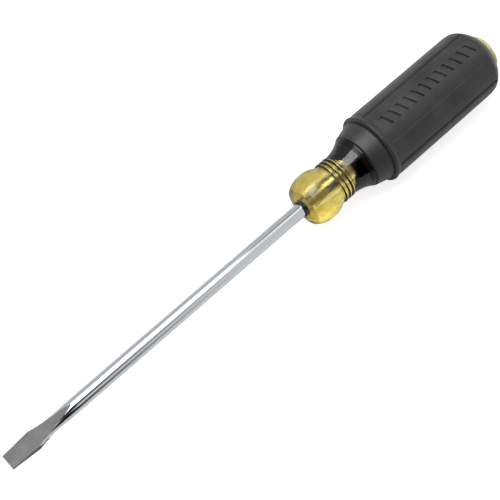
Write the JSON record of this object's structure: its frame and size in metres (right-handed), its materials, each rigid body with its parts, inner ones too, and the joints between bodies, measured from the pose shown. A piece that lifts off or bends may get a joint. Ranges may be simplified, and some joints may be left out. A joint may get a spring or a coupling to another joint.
{
  "type": "slotted screwdriver",
  "caption": "Slotted keystone-tip screwdriver with a round chrome shank, a clear yellow handle core with ball nose and grip rings, and a black rubber sleeve.",
  "frame": {"origin": "centre of the tip's end face", "axes": "+X runs along the tool's axis from the tip to the butt; the ground flats of the tip face +Z and -Z"},
  "size_m": [0.2635, 0.0326, 0.0326],
  "materials": {
    "blade_steel": "bright plated shank, with the tip ground to matte grey steel",
    "clear_yellow_plastic": "polished, see-through cellulose acetate",
    "black_rubber": "matte, fine moulded grain"
  },
  "bodies": {
    "root": {"blade": "blade_steel", "handle_core": "clear_yellow_plastic", "cushion_grip": "black_rubber"}
  },
  "joints": []
}
